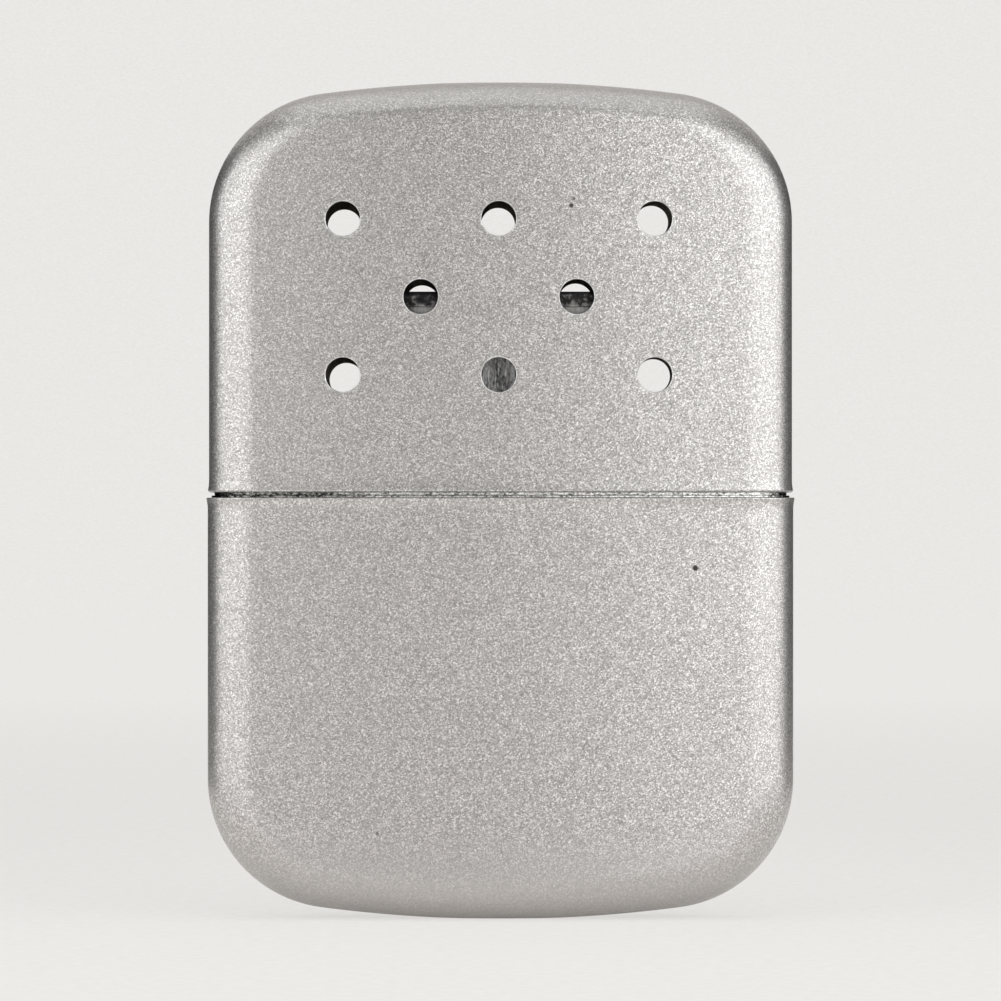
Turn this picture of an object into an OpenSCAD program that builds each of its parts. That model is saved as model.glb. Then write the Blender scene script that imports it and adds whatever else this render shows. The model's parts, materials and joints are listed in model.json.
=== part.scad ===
// Refillable catalytic hand warmer: a drawn two-part case, a wadding-filled
// tank with a filler neck, and a catalyst burner that plugs over the neck.
// Millimetres. Origin at the centre of the base, +Z up, the front faces -Y.

/* [Case] */
// Width of the tank, across the front
case_w = 70; // [62:1:84]
// Thickness of the tank at its middle, front to back
case_t = 14.5; // [13.5:0.5:20]
// Height of the tank, from the base to its lip
tank_h = 50.2; // [40:0.5:60]
// Height of the lid, from its rim to the top
lid_h = 48.9; // [46:0.5:60]
// Thickness of the drawn sheet of both shells
wall = 0.6; // [0.4:0.05:0.8]
// Radius of the gentle bulge of the front and back faces
face_r = 270; // [200:10:400]
// Radius of the crowned top and base edges, seen from the front
crown_r = 165; // [140:5:220]
// Radius of the four corners, seen from the front
corner_r = 15.5; // [13:0.5:18]
// Width of the rounding along the sides
side_soft = 5.6; // [5:0.1:7]
// Width of the rounding along the top
top_soft = 4; // [3.5:0.1:6]
// Width of the rounding along the base
base_soft = 5; // [3.5:0.1:6]
// Depth of the small flats at the crown of the top and the base
end_flat = 0.15; // [0.1:0.05:0.4]

/* [Seam] */
// Open height between the tank's lip and the lid's rim
seam_gap = 0.6; // [0.4:0.05:1]
// How far the lid's surface lies inside the tank's, per side
lid_inset = 0.15; // [0:0.05:0.3]
// How far each shell's edge stands out at the seam
rim_flare = 0.2; // [0:0.05:0.3]
// Height over which that edge dies away
flare_h = 1.5; // [1:0.1:3]
// Sheet of the band inside the lid's rim
ferrule_wall = 0.4; // [0.3:0.05:0.5]
// Height of the band inside the lid's rim
ferrule_h = 6; // [4:0.5:8]
// Clearance between the lid's band and the collar, per side
lid_play = 0.1; // [0.08:0.01:0.2]
// Sheet of the collar that the lid slides on
collar_wall = 0.5; // [0.3:0.05:0.6]
// Height of the collar above the tank's lip
collar_h = 5.5; // [4:0.5:8]
// Depth of the collar's leg below the tank's lip
collar_leg = 6; // [4:0.5:10]
// Thickness of the collar's flange, on which the lid's band stands
flange_t = 0.25; // [0.2:0.05:0.35]
// How far the flange's edge lies inside the tank's surface
flange_inset = 0.45; // [0.4:0.01:0.5]
// Height of the pressed bumps that grip the lid's band
bump_h = 0.05; // [0.02:0.01:0.06]
// Radius of the bumps' domes
bump_r = 2.5; // [1.5:0.1:4]
// Distance of the bumps from the middle
bump_x = 14; // [8:0.5:18]

/* [Vents] */
// Diameter of the vent holes
vent_d = 4; // [3:0.1:5]
// Distance between neighbouring holes in a row
vent_pitch = 18.5; // [16:0.5:20]
// Distance between the rows
vent_row = 9.25; // [7:0.25:10]
// Height of the middle row above the lid's rim
vent_mid = 23.2; // [20:0.1:26]
// Turn of the back holes against the front ones, in degrees
back_turn = 0.7; // [0:0.1:1.5]
// Drop of the back holes against the front ones
back_drop = 0.14; // [0:0.02:0.4]

/* [Neck] */
// Outside length of the filler neck
neck_l = 26; // [22:0.5:28]
// Outside width of the filler neck
neck_w = 7.4; // [6.5:0.1:7.8]
// Sheet of the filler neck
neck_wall = 0.6; // [0.4:0.05:0.8]
// Height of the filler neck above the deck
neck_h = 6; // [4:0.5:7]
// Room between the neck's flange and the deck's turned-down edge
flange_play = 0.15; // [0.05:0.05:0.3]
// Thickness of the neck's flange
neck_flange_t = 0.5; // [0.3:0.05:0.8]
// Sheet of the deck that closes the tank
deck_t = 0.6; // [0.4:0.05:1]
// Height of the deck's top above the tank's lip
deck_rise = 0.7; // [0.5:0.1:2]
// Height of the deck's turned-down edge
deck_rim = 2; // [1:0.1:4]
// Thickness of the screen below the neck
screen_t = 0.4; // [0.3:0.05:0.6]
// Diameter of the screen's holes
screen_hole = 1; // [0.8:0.1:1.2]
// Distance between the screen's holes
screen_pitch = 1.9; // [1.7:0.1:2.5]
// Thickness of the felt pad below the screen
felt_t = 2; // [1:0.1:4]
// Gap between the felt and the wadding
felt_gap = 0.2; // [0.1:0.05:0.4]
// Gap between two pads of wadding
pad_gap = 0.3; // [0.2:0.05:0.5]

/* [Burner] */
// How far the burner's case stands out past the skirt, at each end
case_over_l = 0.3; // [0:0.05:1]
// How far the burner's case stands out past the skirt, at each side
case_over_w = 0.5; // [0:0.05:0.7]
// Height of the burner's case
burner_h = 14.85; // [13:0.05:17]
// Sheet of the burner's case
burner_wall = 0.4; // [0.3:0.05:0.5]
// Height of the skirt that plugs over the neck
skirt_h = 8.4; // [7.5:0.1:10]
// Sheet of the skirt
skirt_wall = 0.5; // [0.3:0.05:0.6]
// Clearance between the skirt and the neck's long sides
skirt_play = 0.1; // [0.05:0.01:0.2]
// Room for a grip spring between the skirt's end and the neck's end
clip_room = 1.2; // [1:0.05:1.4]
// Sheet of the grip springs
clip_t = 0.25; // [0.2:0.01:0.3]
// Width of the grip springs
clip_w = 3; // [2:0.1:3.2]
// Room above the grip springs, up to the skirt's roof
clip_end = 1.4; // [1:0.1:2]
// Length of the opening through the skirt's top
throat_l = 20; // [16:0.5:21]
// Width of the opening through the skirt's top
throat_w = 5.4; // [4:0.1:6]
// Width of the windows in the burner's case
window_w = 7.2; // [6:0.1:7.6]
// Height of the windows
window_h = 9.4; // [7:0.1:10]
// Width of the bars between the windows
window_bar = 1.4; // [1:0.1:1.8]
// Height of the windows' sill above the case's bottom
window_sill = 2; // [1.5:0.1:2.4]
// Height of the cap's turned-down edge
cap_h = 1.8; // [1.5:0.1:3]
// Sheet of the cap
cap_wall = 0.45; // [0.3:0.05:0.5]
// Length of each slot in the cap
cap_slot_l = 6.4; // [5:0.1:7]
// Width of each slot in the cap
cap_slot_w = 5; // [3:0.1:6]
// Diameter of the wire of both gauzes
wire_d = 0.2; // [0.15:0.01:0.3]
// Distance between the wires of both gauzes
wire_pitch = 1.6; // [1.4:0.1:2.2]
// Thickness of the catalyst cloth
cloth_t = 1; // [0.6:0.1:1.4]
// Room round the catalyst cloth, inside the burner's case
cloth_play = 0.15; // [0.05:0.05:0.3]
// Room between the catalyst cloth and its core
core_play = 0.15; // [0.05:0.05:0.3]
// Height of the catalyst, cloth and core together
catalyst_h = 11.6; // [10:0.1:12]
// Diameter of the rivets' shanks
rivet_d = 1.2; // [1:0.05:1.4]
// Diameter of the rivets' heads
rivet_head_d = 2.2; // [1.8:0.1:2.4]
// Height of the rivets' heads
rivet_head_h = 0.4; // [0.3:0.05:0.5]

/* [Hidden] */
$fn = 64;

fit = 0.05;          // gap between two fixed pieces that nest
eps = 0.01;          // how far a cut runs past the face that it opens
edge_steps = 8;      // chords in a quarter of the side's rounding
face_steps = 12;     // chords across a face
corner_steps = 9;    // levels up a corner
crown_shares = [0.8, 0.6, 0.4, 0.2];  // levels over the crown, as shares of its half width

// Heights of the stack, from the base upwards
lip_z = tank_h;
lid_z = lip_z + seam_gap;
flange_z = lip_z + flange_t;
deck_z = lip_z + deck_rise;
neck_flange_z = deck_z - deck_t - neck_flange_t;
screen_z = neck_flange_z - screen_t;
felt_z = screen_z - felt_t;
wadding_top = felt_z - felt_gap;
skirt_top = deck_z + skirt_h;
case_z = skirt_top;
ledge_z = case_z + burner_wall;
gauze_t = 2 * wire_d;
catalyst_z = ledge_z + max(gauze_t, rivet_head_h) + fit;
top_gauze_z = catalyst_z + catalyst_h + fit;
case_top = case_z + burner_h;
cap_top = case_top + fit + cap_wall;
bump_z = (flange_z + lip_z + collar_h) / 2;
clip_h = skirt_h - skirt_wall - clip_end;
rivet_grip = skirt_wall + burner_wall;

// Each shell is [half width, half thickness, height, width of its end's rounding]
tank_form = [case_w / 2, case_t / 2, tank_h, base_soft];
lid_form = [case_w / 2 - lid_inset, case_t / 2 - lid_inset, lid_h, top_soft];

// Insets of what nests in the shells
leg_inset = wall + fit;
ferrule_inset = wall + fit;
collar_inset = ferrule_inset + ferrule_wall + lid_play;
deck_inset = collar_inset + collar_wall + fit;
pad_inset = leg_inset + collar_wall + pad_gap / 2;

// Half the thickness of the middle pad of wadding, with half a gap
pad_y = case_t / 6;

// Outlines of the neck and the burner
neck_in_l = neck_l - 2 * neck_wall;
neck_in_w = neck_w - 2 * neck_wall;
neck_flange_w =
    2 * (half_thickness(lid_form, deck_inset + deck_t, (neck_l - neck_w) / 2, 0) - flange_play);
neck_flange_l = neck_l - neck_w + neck_flange_w;
skirt_l = neck_l + 2 * clip_room;
skirt_w = neck_w + 2 * skirt_play;
burner_l = skirt_l + 2 * skirt_wall + 2 * case_over_l;
burner_w = skirt_w + 2 * skirt_wall + 2 * case_over_w;
case_in_l = burner_l - 2 * burner_wall;
case_in_w = burner_w - 2 * burner_wall;
cloth_l = case_in_l - 2 * cloth_play;
cloth_w = case_in_w - 2 * cloth_play;
core_inset = 2 * (cloth_t + core_play);
rivet_x = (throat_l + skirt_l) / 4;
window_pitch = window_w + window_bar;

// ---- The drawn shell's surface ----

// Height of the centre of the end's crown above the mouth
function crown_z(form) = form[2] + end_flat - crown_r;
// Distance of a corner's centre from the middle
function corner_x(form) = form[0] - corner_r;
// Height of a corner's centre above the mouth
function corner_z(form) =
    crown_z(form) + sqrt(pow(crown_r - corner_r, 2) - pow(corner_x(form), 2));
// Angle, from sideways, at which a corner runs into the crown
function corner_end(form) = atan2(corner_z(form) - crown_z(form), corner_x(form));

// Half width of the outline at height h, with the outline moved in by inset
function half_width(form, inset, h) =
    h <= corner_z(form) ? form[0] - inset
    : h <= corner_z(form) + (corner_r - inset) * sin(corner_end(form))
        ? corner_x(form) + sqrt(pow(corner_r - inset, 2) - pow(h - corner_z(form), 2))
        : sqrt(pow(crown_r - inset, 2) - pow(h - crown_z(form), 2));

// [distance inside the outline, direction of its nearest point] at x, h
function edge_at(form, inset, x, h) =
    let (turn = atan2(h - corner_z(form), x - corner_x(form)))
    h <= corner_z(form) ? [form[0] - inset - x, 0]
    : turn <= corner_end(form)
        ? [corner_r - inset - norm([x - corner_x(form), h - corner_z(form)]), turn]
        : [crown_r - inset - norm([x, h - crown_z(form)]), atan2(h - crown_z(form), x)];

// Half thickness at x, h: a bulged face with a quarter-ellipse round its edge
function half_thickness(form, inset, x, h) =
    let (edge = edge_at(form, inset, x, h),
         soft = side_soft * pow(cos(edge[1]), 2) + form[3] * pow(sin(edge[1]), 2) - inset,
         share = min(1, max(0, edge[0] / soft)))
    (form[1] - inset - x * x / (2 * face_r)) * sqrt(share * (2 - share));

// Share of the half width at step i, from one side to the other
half_steps = 2 * edge_steps + face_steps;
edge_share = side_soft / (case_w / 2);
function across(i) =
    i <= edge_steps ? 1 - edge_share * (1 - cos(90 * i / edge_steps))
    : i >= edge_steps + face_steps ? -across(half_steps - i)
    : (1 - edge_share) * (1 - 2 * (i - edge_steps) / face_steps);

// One closed ring of points at height h
function ring(form, inset, h) =
    let (w = half_width(form, inset, h))
    concat(
        [for (i = [0 : half_steps])
            let (x = across(i) * w)
            [x, half_thickness(form, inset, abs(x), h), h]],
        [for (i = [1 : half_steps - 1])
            let (x = -across(i) * w)
            [x, -half_thickness(form, inset, abs(x), h), h]]);

// The same ring, flat, at the mouth
function lens(form, inset) = [for (p = ring(form, inset, 0)) [p.x, p.y]];

// Outward flare of the edge at height h
function flare(h) = rim_flare * pow(max(0, 1 - h / flare_h), 2);

// Heights of the rings, from height low to the end
function levels(form, inset, low) =
    let (end = corner_end(form),
         crown_w = (crown_r - inset) * cos(end))
    concat(
        low,
        [for (i = [0 : corner_steps])
            corner_z(form) + (corner_r - inset) * sin(end * i / corner_steps)],
        [for (share = crown_shares)
            crown_z(form) + sqrt(pow(crown_r - inset, 2) - pow(crown_w * share, 2))]);

ring_n = 2 * half_steps;

// Side faces between n rings, the first point at start
function band_faces(n, start, inward) =
    [for (j = [0 : n - 2], i = [0 : ring_n - 1])
        let (a = start + j * ring_n + i,
             b = start + j * ring_n + (i + 1) % ring_n,
             c = b + ring_n,
             d = a + ring_n)
        each inward ? [[a, b, c], [a, c, d]] : [[a, c, b], [a, d, c]]];

// A flat fan over the ring that starts at start
function cap_faces(start, upward) =
    [for (i = [1 : ring_n - 2])
        upward ? [start, start + i + 1, start + i] : [start, start + i, start + i + 1]];

// A drawn cup with its mouth at z = 0 and its crowned end upwards, cut flat at the crown
module drawn_shell(form) {
    outer = levels(form, 0, [0, flare_h / 3, flare_h]);
    inner = levels(form, wall, [0]);
    points = concat(
        [for (h = outer) each ring(form, -flare(h), h)],
        [for (h = inner) each ring(form, wall, h)]);
    first_inner = len(outer) * ring_n;
    rim = [for (i = [0 : ring_n - 1])
        let (next = (i + 1) % ring_n)
        each [[i, next, first_inner + next], [i, first_inner + next, first_inner + i]]];
    faces = concat(
        band_faces(len(outer), 0, false),
        cap_faces((len(outer) - 1) * ring_n, true),
        band_faces(len(inner), first_inner, true),
        cap_faces(first_inner + (len(inner) - 1) * ring_n, false),
        rim);
    difference() {
        polyhedron(points, faces);
        translate([-form[0], -form[1], form[2]])
            cube([2 * form[0], 2 * form[1], crown_r]);
    }
}

// A solid of the shell's form, moved in by inset, from height low to the end
module filled_form(form, inset, low) {
    heights = levels(form, inset, [low]);
    points = [for (h = heights) each ring(form, inset, h)];
    faces = concat(
        band_faces(len(heights), 0, false),
        cap_faces((len(heights) - 1) * ring_n, true),
        cap_faces(0, false));
    polyhedron(points, faces);
}

// ---- Flat shapes ----

module stadium(l, w) {
    square([l - w, w], center = true);
    for (side = [-1, 1])
        translate([side * (l - w) / 2, 0])
            circle(d = w);
}

module stadium_ring(l, w, in_l, in_w) {
    difference() {
        stadium(l, w);
        stadium(in_l, in_w);
    }
}

module lens_ring(form, outer_inset, inner_inset) {
    difference() {
        polygon(lens(form, outer_inset));
        polygon(lens(form, inner_inset));
    }
}

module at_z(z, h) {
    translate([0, 0, z])
        linear_extrude(h)
            children();
}

// ---- Lid ----

// The eight holes of one face, cut along Y from y to y + depth
module vents(y, depth) {
    for (row = [-1, 0, 1])
        for (x = row == 0 ? [-vent_pitch / 2, vent_pitch / 2] : [-vent_pitch, 0, vent_pitch])
            translate([x, y + depth, row * vent_row])
                rotate([90, 0, 0])
                    cylinder(d = vent_d, h = depth);
}

module lid_shell() {
    color("silver")
        translate([0, 0, lid_z])
            difference() {
                drawn_shell(lid_form);
                translate([0, 0, vent_mid])
                    vents(-case_t, case_t);
                translate([0, 0, vent_mid - back_drop])
                    rotate([0, -back_turn, 0])
                        vents(0, case_t);
            }
}

module lid_ferrule() {
    color("gainsboro")
        at_z(flange_z, ferrule_h)
            lens_ring(lid_form, ferrule_inset, ferrule_inset + ferrule_wall);
}

// ---- Tank ----

module tank_shell() {
    color("silver")
        translate([0, 0, tank_h])
            rotate([0, 180, 0])
                drawn_shell(tank_form);
}

module collar() {
    color("gainsboro") {
        at_z(lip_z - collar_leg, collar_leg)
            lens_ring(tank_form, leg_inset, leg_inset + collar_wall);
        at_z(lip_z, flange_t)
            lens_ring(tank_form, flange_inset, deck_inset - fit + lid_inset);
        at_z(lip_z, collar_h)
            lens_ring(lid_form, collar_inset, collar_inset + collar_wall);
        for (x = [-bump_x, bump_x], turn = [0, 180])
            rotate([0, 0, turn])
                collar_bump(x);
    }
}

// A domed bump pressed outwards in the collar's back side
module collar_bump(x) {
    face_y = half_thickness(lid_form, collar_inset, abs(x), 0);
    intersection() {
        translate([x, face_y + bump_h - bump_r, bump_z])
            sphere(r = bump_r);
        translate([x - bump_r, face_y - collar_wall / 2, bump_z - bump_r])
            cube([2 * bump_r, collar_wall, 2 * bump_r]);
    }
}

module deck() {
    color("gainsboro") {
        at_z(deck_z - deck_t, deck_t)
            difference() {
                polygon(lens(lid_form, deck_inset));
                stadium(neck_l + 2 * fit, neck_w + 2 * fit);
            }
        at_z(deck_z - deck_rim, deck_rim)
            lens_ring(lid_form, deck_inset, deck_inset + deck_t);
    }
}

module filler_neck() {
    color("gainsboro") {
        at_z(neck_flange_z, deck_z + neck_h - neck_flange_z)
            stadium_ring(neck_l, neck_w, neck_in_l, neck_in_w);
        at_z(neck_flange_z, neck_flange_t)
            stadium_ring(neck_flange_l, neck_flange_w, neck_in_l, neck_in_w);
    }
}

module neck_screen() {
    columns = floor((neck_in_l / 2 - neck_in_w / 4 - screen_hole / 2) / screen_pitch);
    rows = floor((neck_in_w / 2 - screen_hole / 2) / screen_pitch);
    color("darkgray")
        at_z(screen_z, screen_t)
            difference() {
                stadium(neck_flange_l, neck_flange_w);
                for (i = [-columns : columns], j = [-rows : rows])
                    translate([i * screen_pitch, j * screen_pitch])
                        circle(d = screen_hole);
            }
}

module felt_pad() {
    color("antiquewhite")
        at_z(felt_z, felt_t)
            stadium(neck_flange_l, neck_flange_w);
}

// One of the three pads of wadding, between y = low and y = high
module wadding(low, high) {
    color("ivory")
        intersection() {
            translate([0, 0, tank_h])
                rotate([0, 180, 0])
                    filled_form(tank_form, pad_inset, tank_h - wadding_top);
            translate([-case_w, low, -eps])
                cube([2 * case_w, high - low, tank_h]);
        }
}

module wadding_front() {
    wadding(-case_t, -pad_y - pad_gap / 2);
}

module wadding_middle() {
    wadding(-pad_y + pad_gap / 2, pad_y - pad_gap / 2);
}

module wadding_back() {
    wadding(pad_y + pad_gap / 2, case_t);
}

// ---- Burner ----

module burner_skirt() {
    color("dimgray") {
        at_z(deck_z, skirt_h)
            stadium_ring(skirt_l + 2 * skirt_wall, skirt_w + 2 * skirt_wall, skirt_l, skirt_w);
        difference() {
            at_z(skirt_top - skirt_wall, skirt_wall)
                stadium_ring(burner_l, burner_w, throat_l, throat_w);
            rivet_holes();
        }
    }
}

module rivet_holes() {
    for (x = [-rivet_x, rivet_x])
        translate([x, 0, skirt_top - 2 * skirt_wall])
            cylinder(d = rivet_d + 2 * fit, h = 2 * (skirt_wall + burner_wall));
}

module burner_case() {
    color("gray") {
        difference() {
            at_z(case_z, burner_h)
                stadium_ring(burner_l, burner_w, case_in_l, case_in_w);
            for (i = [-1, 0, 1])
                translate([i * window_pitch - window_w / 2, -burner_w, case_z + window_sill])
                    cube([window_w, 2 * burner_w, window_h]);
        }
        difference() {
            at_z(case_z, burner_wall)
                stadium_ring(burner_l, burner_w, throat_l, throat_w);
            rivet_holes();
        }
    }
}

module burner_cap() {
    cap_in_l = burner_l + 2 * fit;
    cap_in_w = burner_w + 2 * fit;
    color("dimgray") {
        at_z(cap_top - cap_h, cap_h)
            stadium_ring(cap_in_l + 2 * cap_wall, cap_in_w + 2 * cap_wall, cap_in_l, cap_in_w);
        at_z(cap_top - cap_wall, cap_wall)
            difference() {
                stadium(cap_in_l + 2 * cap_wall, cap_in_w + 2 * cap_wall);
                for (i = [-1, 0, 1])
                    translate([i * window_pitch, 0])
                        square([cap_slot_l, cap_slot_w], center = true);
            }
    }
}

// A flat gauze: a stadium of wire crossings with a square hole in each mesh
module gauze(l, w) {
    hole = wire_pitch - wire_d * 2;
    columns = floor((l / 2 - w / 4 - hole / 2) / wire_pitch);
    rows = floor((w / 2 - wire_d - hole / 2) / wire_pitch);
    difference() {
        stadium(l, w);
        for (i = [-columns : columns], j = [-rows : rows])
            translate([i * wire_pitch, j * wire_pitch])
                square(hole, center = true);
    }
}

module support_gauze() {
    color("lightgray")
        at_z(ledge_z, gauze_t)
            difference() {
                gauze(case_in_l - 2 * fit, case_in_w - 2 * fit);
                for (x = [-rivet_x, rivet_x])
                    translate([x, 0])
                        circle(d = rivet_head_d + 4 * fit);
            }
}

module top_gauze() {
    color("lightgray")
        at_z(top_gauze_z, gauze_t)
            gauze(case_in_l - 2 * fit, case_in_w - 2 * fit);
}

module catalyst_cloth() {
    color("slategray") {
        at_z(catalyst_z, catalyst_h)
            stadium_ring(cloth_l, cloth_w, cloth_l - 2 * cloth_t, cloth_w - 2 * cloth_t);
        at_z(catalyst_z + catalyst_h - cloth_t, cloth_t)
            stadium(cloth_l, cloth_w);
    }
}

module catalyst_core() {
    color("white")
        at_z(catalyst_z, catalyst_h - cloth_t - core_play)
            stadium(cloth_l - core_inset, cloth_w - core_inset);
}

module burner_rivets() {
    color("lightgray")
        for (x = [-rivet_x, rivet_x])
            translate([x, 0, ledge_z]) {
                cylinder(d = rivet_head_d, h = rivet_head_h);
                translate([0, 0, -rivet_grip])
                    cylinder(d = rivet_d, h = rivet_grip);
                translate([0, 0, -rivet_grip - rivet_head_h])
                    cylinder(d = rivet_head_d, h = rivet_head_h);
            }
}

// Two bowed leaf springs that press on the ends of the neck
module neck_clips() {
    end_r = skirt_w / 2;
    seat_x = skirt_l / 2 - end_r + sqrt(end_r * end_r - clip_w * clip_w / 4) - fit;
    bow = seat_x - clip_t - neck_l / 2 - fit;
    bow_r = (clip_h * clip_h / 4 + bow * bow) / (2 * bow);
    color("goldenrod")
        for (side = [0, 1])
            mirror([side, 0, 0])
                translate([neck_l / 2 + fit + bow_r, -clip_w / 2, deck_z + fit + clip_h / 2])
                    intersection() {
                        rotate([-90, 0, 0])
                            difference() {
                                cylinder(r = bow_r, h = clip_w);
                                translate([0, 0, -eps])
                                    cylinder(r = bow_r - clip_t, h = clip_w + 2 * eps);
                            }
                        translate([-bow_r - eps, 0, -clip_h / 2])
                            cube([bow_r, clip_w, clip_h]);
                    }
}

tank_shell();
collar();
deck();
filler_neck();
neck_screen();
felt_pad();
wadding_front();
wadding_middle();
wadding_back();
lid_shell();
lid_ferrule();
burner_skirt();
burner_case();
burner_cap();
support_gauze();
catalyst_cloth();
catalyst_core();
top_gauze();
burner_rivets();
neck_clips();
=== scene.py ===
"""Catalytic hand warmer: its painted case, burner and fibre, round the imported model."""
import json
import math
from collections import namedtuple

import bmesh
import bpy
from mathutils import Matrix, Vector, noise


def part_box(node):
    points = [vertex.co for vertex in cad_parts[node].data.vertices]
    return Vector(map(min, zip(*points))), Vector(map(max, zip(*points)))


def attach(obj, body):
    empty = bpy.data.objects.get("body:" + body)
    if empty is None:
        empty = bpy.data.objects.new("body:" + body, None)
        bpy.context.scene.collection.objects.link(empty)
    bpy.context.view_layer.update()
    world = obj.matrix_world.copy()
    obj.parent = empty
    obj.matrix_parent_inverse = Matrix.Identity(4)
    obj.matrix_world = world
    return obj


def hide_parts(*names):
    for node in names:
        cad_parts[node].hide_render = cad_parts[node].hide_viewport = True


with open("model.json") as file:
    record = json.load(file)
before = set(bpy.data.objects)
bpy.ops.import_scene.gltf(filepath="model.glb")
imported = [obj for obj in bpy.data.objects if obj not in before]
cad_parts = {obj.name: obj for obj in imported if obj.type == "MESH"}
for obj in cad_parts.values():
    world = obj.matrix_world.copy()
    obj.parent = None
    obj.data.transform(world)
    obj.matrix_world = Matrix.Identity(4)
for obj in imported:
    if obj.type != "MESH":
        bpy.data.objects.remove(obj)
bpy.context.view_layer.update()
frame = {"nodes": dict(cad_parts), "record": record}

BODY_OF = {node: body for body, nodes in frame["record"]["behaviour"]["bodies"].items()
           for node in nodes}
MM = 0.001

# ---------------------------------------------------------------- sizes, in millimetres

# The case's drawn form, as the model has it
Form = namedtuple("Form", "half_w half_t height end_soft")
LIP_Z = 50.2
LID_Z = 50.8
TOP_Z = 99.7
WALL = 0.6
FACE_R = 270
CROWN_R = 165
CORNER_R = 15.5
SIDE_SOFT = 5.6
END_FLAT = 0.15
RIM_FLARE = 0.2
FLARE_H = 1.5
LID_LIP_ROUND = 0.3
TANK_LIP_ROUND = 0.15
INNER_LIP_ROUND = 0.1
LID_INSET = 0.15
TANK = Form(35, 7.25, LIP_Z, 5)
LID = Form(TANK.half_w - LID_INSET, TANK.half_t - LID_INSET, TOP_Z - LID_Z, 4)

# Vents: as in the photograph, 0.05 wider in radius and 0.2 further left than in the model
VENT_R = 2.05
VENT_PITCH = 18.5
VENT_ROW = 9.25
VENT_MID = 23.2
BACK_TURN = math.radians(0.7)
BACK_DROP = 0.14
VENT_ROUND = 0.14
VENT_SHIFT = -0.2

# Bands in the seam
FERRULE_INSET = 0.65
FERRULE_WALL = 0.4
FERRULE_H = 6
FLANGE_Z = 50.45
FLANGE_INSET = 0.45
COLLAR_INSET = 1.15
COLLAR_WALL = 0.5
COLLAR_H = 5.5
COLLAR_LEG = 6
LEG_INSET = 0.65
BUMP_X = 14
BUMP_R = 2.5
BUMP_H = 0.05

# Deck and neck
DECK_Z = 50.9
DECK_T = 0.6
DECK_INSET = 1.7
NECK = (26, 7.4)
NECK_WALL = 0.6
NECK_TOP = 56.9
NECK_FOOT = 49.8
NECK_FLANGE_T = 0.5
FLANGE_PLAY = 0.15
SOLDER_W = 0.45
SOLDER_H = 0.4

# Burner
SKIRT = (28.4, 7.6)
SKIRT_WALL = 0.5
SKIRT_TOP = 59.3
BURNER = (30, 9.6)
BURNER_WALL = 0.4
THROAT = (20, 5.4)
CASE_TOP = 74.15
WINDOW = (7.2, 9.4)
WINDOW_FOOT = 61.3
WINDOW_PITCH = 8.6
WINDOW_CORNER = 0.9
CAP_TOP = 74.65
CAP_H = 1.8
CAP_WALL = 0.45
CAP_SLOT = (6.4, 5)
FIT = 0.05
WIRE_D = 0.2
WIRE_PITCH = 0.8
SUPPORT_Z = 59.9
TOP_GAUZE_Z = 72.0
CLOTH = (28.9, 8.5)
CLOTH_T = 1
CLOTH_FOOT = 60.15
CLOTH_TOP = 71.75
RIVET_X = 12.1
RIVET_D = 1.2
RIVET_HEAD_D = 2.2
RIVET_HEAD_H = 0.4
LEDGE_Z = 59.7

# ---------------------------------------------------------------- small tools


def srgb(code):
    """The linear colour of an sRGB hex code."""
    parts = [int(code[i:i + 2], 16) / 255 for i in (1, 3, 5)]
    return [p / 12.92 if p <= 0.04045 else ((p + 0.055) / 1.055) ** 2.4 for p in parts] + [1]


def add(tree, kind, inputs=None, **settings):
    """Adds one node with its settings, and sets or links its inputs."""
    made = tree.nodes.new(kind)
    for name, value in settings.items():
        setattr(made, name, value)
    for name, value in (inputs or {}).items():
        if isinstance(value, bpy.types.NodeSocket):
            tree.links.new(value, made.inputs[name])
        else:
            made.inputs[name].default_value = value
    return made


def material(name):
    """An empty material and its node tree."""
    made = bpy.data.materials.new(name)
    made.use_nodes = True
    made.node_tree.nodes.clear()
    return made, made.node_tree


def surface(tree, inputs):
    """Ends a material with a principled surface."""
    shader = add(tree, "ShaderNodeBsdfPrincipled", inputs)
    add(tree, "ShaderNodeOutputMaterial", {"Surface": shader.outputs["BSDF"]})


def placed(name, data):
    """A new object in the scene."""
    made = bpy.data.objects.new(name, data)
    bpy.context.scene.collection.objects.link(made)
    return made


def meshed(bm, name, materials):
    """A new object of bm, which is then done with."""
    mesh = bpy.data.meshes.new(name)
    bm.to_mesh(mesh)
    bm.free()
    for finish in materials:
        mesh.materials.append(finish)
    return placed(name, mesh)


def evaluated(piece):
    """A mesh of a piece as its modifiers leave it."""
    depsgraph = bpy.context.evaluated_depsgraph_get()
    return bpy.data.meshes.new_from_object(piece.evaluated_get(depsgraph))


def grown(bm, name, materials, node):
    """Makes a piece of bm that stands for a node of the model and rides on its body."""
    made = meshed(bm, name, materials)
    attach(made, BODY_OF[node])
    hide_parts(node)
    return made


def shade(piece, angle):
    """Smooth shading, with edges sharper than angle, in degrees, kept sharp."""
    piece.data.shade_smooth()
    piece.data.set_sharp_from_angle(angle=math.radians(angle))


def spread(start, end, steps):
    """Even steps from start to end, both included."""
    return [start + (end - start) * i / steps for i in range(steps + 1)]


def eased(corners, steps=3):
    """A closed profile of (place, ease): each corner rounds off from ease before it."""
    path = []
    for i, (corner, ease) in enumerate(corners):
        here = Vector(corner)
        before = Vector(corners[i - 1][0])
        after = Vector(corners[(i + 1) % len(corners)][0])
        start = here + (before - here).normalized() * ease
        end = here + (after - here).normalized() * ease
        if ease:
            path += [start.lerp(here, t).lerp(here.lerp(end, t), t)
                     for t in spread(0, 1, steps)]
        else:
            path.append(here)
    return path


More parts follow.
